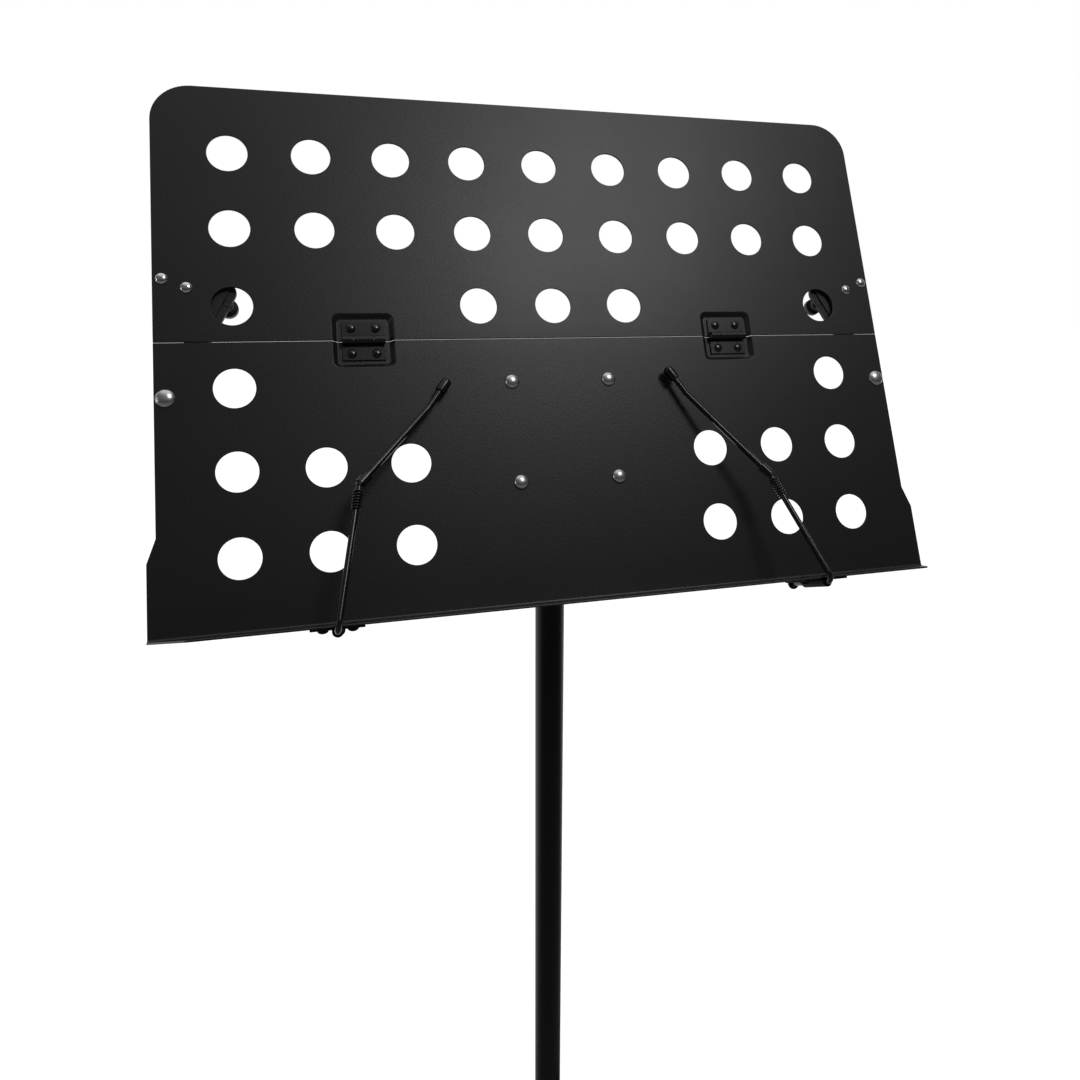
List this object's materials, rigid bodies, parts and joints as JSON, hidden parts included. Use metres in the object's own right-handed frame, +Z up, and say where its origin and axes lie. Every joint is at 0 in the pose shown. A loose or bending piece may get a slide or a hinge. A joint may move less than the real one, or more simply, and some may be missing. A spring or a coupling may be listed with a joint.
{
  "type": "music stand",
  "caption": "Music stand with a perforated sheet-steel desk that folds in half, swinging page arms on its ledge, a telescopic pole and a folding tripod base.",
  "frame": {"origin": "floor point under the pole's axis", "axes": "+Z up along the pole, +X to the reader's right, the reader stands at -Y"},
  "size_m": [0.5272, 0.4602, 1.2499],
  "materials": {
    "black_sheet": "satin black powder coat",
    "black_steel": "semi-gloss black",
    "black_tube": "satin black powder coat",
    "bright_steel": "bright zinc plate",
    "black_casting": "satin black paint",
    "black_plastic": "moulded black",
    "soft_cap": "matt black rubber"
  },
  "bodies": {
    "base": {"leg_hub": "black_casting", "hub_plug": "black_plastic", "leg_pins": "bright_steel", "outer_tube": "black_tube", "pole_bush": "black_plastic", "clamp_collar": "black_plastic"},
    "tube_guide": {"guide_sleeve": "black_plastic"},
    "mast": {"inner_tube": "black_tube", "pole_neck": "black_casting"},
    "lower_desk": {"lower_panel": "black_sheet", "hinge_lower_leaf_left": "black_steel", "hinge_lower_leaf_right": "black_steel", "hinge_rivets_lower": "black_steel", "tilt_bracket": "black_steel", "bracket_rivets": "bright_steel", "tilt_bolt": "bright_steel", "friction_washers": "black_plastic", "tilt_washer": "bright_steel", "latch_spacers": "bright_steel", "latch_pivot_rivets": "bright_steel", "arm_bracket_left": "black_steel", "arm_bracket_right": "black_steel", "arm_bracket_rivets": "black_steel"},
    "upper_desk": {"upper_panel": "black_sheet", "hinge_upper_leaf_left": "black_steel", "hinge_upper_leaf_right": "black_steel", "hinge_pins": "bright_steel", "hinge_rivets_upper": "black_steel", "keeper_left": "black_steel", "keeper_right": "black_steel", "keeper_rivets": "bright_steel"},
    "tilt_knob": {"tilt_knob": "black_plastic"},
    "clamp_knob": {"clamp_knob": "black_plastic", "clamp_screw": "bright_steel"},
    "latch_left": {"latch_bar_left": "black_steel", "latch_knob_left": "black_plastic"},
    "page_arm_left": {"arm_lower_rod_left": "black_steel", "arm_clip_left": "black_steel", "arm_spring_left": "black_steel"},
    "arm_tip_left": {"arm_upper_rod_left": "black_steel", "arm_elbow_socket_left": "black_steel", "arm_tip_cap_left": "soft_cap"},
    "latch_right": {"latch_bar_right": "black_steel", "latch_knob_right": "black_plastic"},
    "page_arm_right": {"arm_lower_rod_right": "black_steel", "arm_clip_right": "black_steel", "arm_spring_right": "black_steel"},
    "arm_tip_right": {"arm_upper_rod_right": "black_steel", "arm_elbow_socket_right": "black_steel", "arm_tip_cap_right": "soft_cap"},
    "leg_back": {"leg_knuckle_back": "black_casting", "leg_tube_back": "black_tube", "leg_foot_back": "soft_cap"},
    "leg_left": {"leg_knuckle_left": "black_casting", "leg_tube_left": "black_tube", "leg_foot_left": "soft_cap"},
    "leg_right": {"leg_knuckle_right": "black_casting", "leg_tube_right": "black_tube", "leg_foot_right": "soft_cap"}
  },
  "joints": [
    {"name": "height", "type": "slide", "parent": "base", "child": "tube_guide", "axis": [0, 0, 1], "range_m": [-0.17, 0.045]},
    {"name": "pole_swivel", "type": "hinge", "parent": "tube_guide", "child": "mast", "pos_m": [0, 0, 0.305], "axis": [0, 0, 1], "continuous": true},
    {"name": "desk_tilt", "type": "hinge", "parent": "mast", "child": "lower_desk", "pos_m": [0, 0, 1.016], "axis": [-1, 0, 0], "range_deg": [-20, 65]},
    {"name": "desk_fold", "type": "hinge", "parent": "lower_desk", "child": "upper_desk", "pos_m": [0, -0.01347, 1.09478], "axis": [1, 0, 0], "range_deg": [0, 158]},
    {"name": "tilt_knob_turn", "type": "hinge", "parent": "lower_desk", "child": "tilt_knob", "pos_m": [0, 0, 1.016], "axis": [1, 0, 0], "continuous": true},
    {"name": "clamp_knob_turn", "type": "hinge", "parent": "base", "child": "clamp_knob", "pos_m": [0.0278, 0, 0.429], "axis": [1, 0, 0], "continuous": true},
    {"name": "latch_swing_left", "type": "hinge", "parent": "lower_desk", "child": "latch_left", "pos_m": [-0.2377, -0.02605, 1.06363], "axis": [0, 0.9272, -0.3746], "range_deg": [-3, 40]},
    {"name": "latch_swing_right", "type": "hinge", "parent": "lower_desk", "child": "latch_right", "pos_m": [0.2377, -0.02605, 1.06363], "axis": [0, -0.9272, 0.3746], "range_deg": [-3, 40]},
    {"name": "arm_swing_left", "type": "hinge", "parent": "lower_desk", "child": "page_arm_left", "pos_m": [-0.148, -0.09704, 0.94132], "axis": [0, -0.9272, 0.3746], "range_deg": [-15, 70]},
    {"name": "arm_lift_left", "type": "hinge", "parent": "page_arm_left", "child": "arm_tip_left", "pos_m": [-0.1322, -0.07086, 1.0168], "axis": [0.7323, -0.2551, -0.6313], "range_deg": [0, 15], "stiffness_Nm_per_rad": 0.08, "springref_deg": -20.05},
    {"name": "arm_swing_right", "type": "hinge", "parent": "lower_desk", "child": "page_arm_right", "pos_m": [0.148, -0.09704, 0.94132], "axis": [0, 0.9272, -0.3746], "range_deg": [-15, 70]},
    {"name": "arm_lift_right", "type": "hinge", "parent": "page_arm_right", "child": "arm_tip_right", "pos_m": [0.1268, -0.07427, 1.00836], "axis": [0.8113, 0.219, 0.5421], "range_deg": [0, 15], "stiffness_Nm_per_rad": 0.08, "springref_deg": -20.05},
    {"name": "leg_fold_back", "type": "hinge", "parent": "base", "child": "leg_back", "pos_m": [0, 0.0365, 0.15], "axis": [-1, 0, 0], "range_deg": [0, 58]},
    {"name": "leg_fold_left", "type": "hinge", "parent": "base", "child": "leg_left", "pos_m": [-0.03161, -0.01825, 0.15], "axis": [0.5, -0.866, 0], "range_deg": [0, 58]},
    {"name": "leg_fold_right", "type": "hinge", "parent": "base", "child": "leg_right", "pos_m": [0.03161, -0.01825, 0.15], "axis": [0.5, 0.866, 0], "range_deg": [0, 58]}
  ]
}
